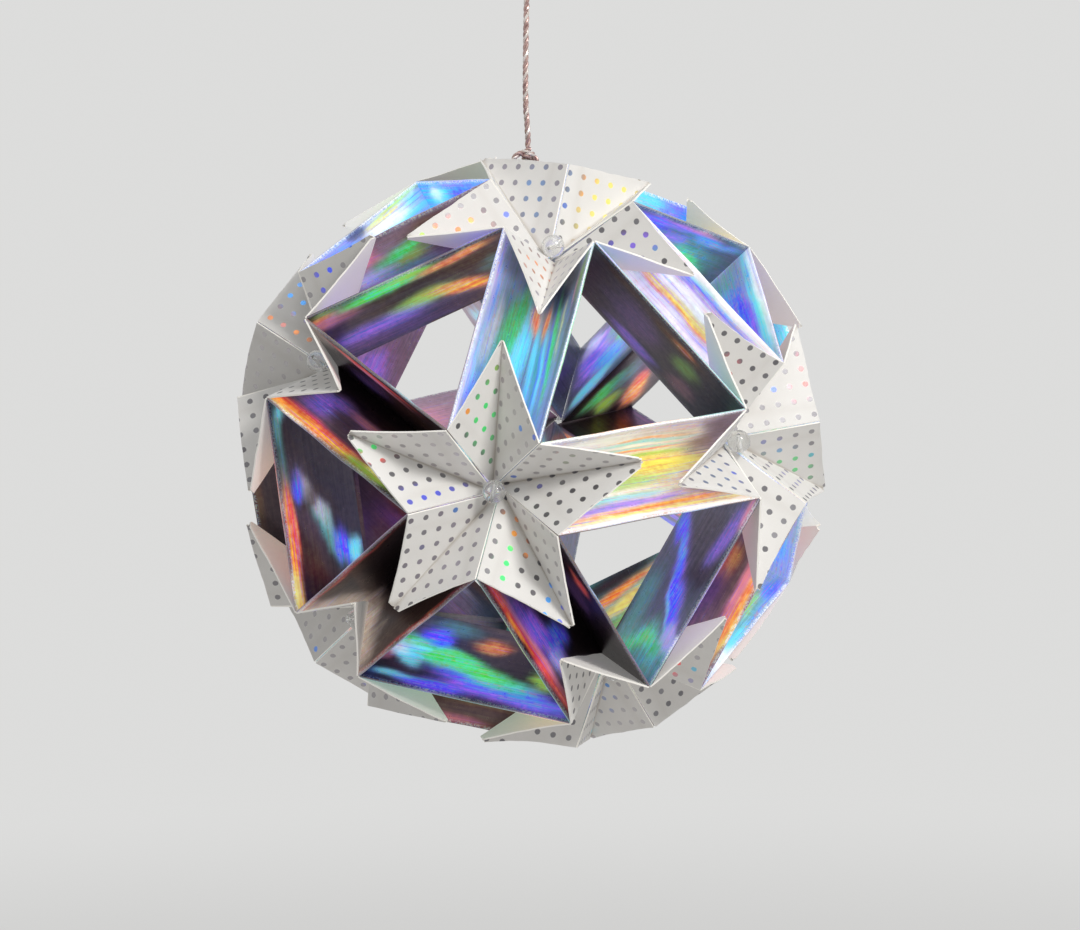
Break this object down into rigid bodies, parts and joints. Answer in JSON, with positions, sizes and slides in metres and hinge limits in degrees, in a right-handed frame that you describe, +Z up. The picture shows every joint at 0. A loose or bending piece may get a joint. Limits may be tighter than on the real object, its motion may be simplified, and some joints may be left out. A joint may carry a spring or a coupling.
{
  "type": "kusudama paper ball",
  "caption": "Hanging ball of folded foil paper troughs that meet in white dotted stars, each with a clear glass bead, on a metallic thread.",
  "frame": {"origin": "centre of the paper ball", "axes": "+Z up along the hanging thread; one star faces -Y and a little down"},
  "size_m": [0.1082, 0.1095, 0.1554],
  "materials": {
    "foil_paper": "holographic foil-faced paper, white dotted reverse",
    "dotted_paper": "matt white paper with a grid of small holographic dots",
    "glass_bead": "clear polished",
    "metallic_thread": "twisted silver metallic thread"
  },
  "bodies": {
    "root": {"unit_01": "foil_paper", "unit_02": "foil_paper", "unit_03": "foil_paper", "unit_04": "foil_paper", "unit_05": "foil_paper", "unit_06": "foil_paper", "unit_07": "foil_paper", "unit_08": "foil_paper", "unit_09": "foil_paper", "unit_10": "foil_paper", "unit_11": "foil_paper", "unit_12": "foil_paper", "unit_13": "foil_paper", "unit_14": "foil_paper", "unit_15": "foil_paper", "unit_16": "foil_paper", "unit_17": "foil_paper", "unit_18": "foil_paper", "unit_19": "foil_paper", "unit_20": "foil_paper", "unit_21": "foil_paper", "unit_22": "foil_paper", "unit_23": "foil_paper", "unit_24": "foil_paper", "unit_25": "foil_paper", "unit_26": "foil_paper", "unit_27": "foil_paper", "unit_28": "foil_paper", "unit_29": "foil_paper", "unit_30": "foil_paper", "bead_01": "glass_bead", "bead_02": "glass_bead", "bead_03": "glass_bead", "bead_04": "glass_bead", "bead_05": "glass_bead", "bead_06": "glass_bead", "bead_07": "glass_bead", "bead_08": "glass_bead", "bead_09": "glass_bead", "bead_10": "glass_bead", "bead_11": "glass_bead", "bead_12": "glass_bead", "thread": "metallic_thread", "rim_loop": "metallic_thread", "hanging_loop": "metallic_thread"}
  },
  "joints": []
}
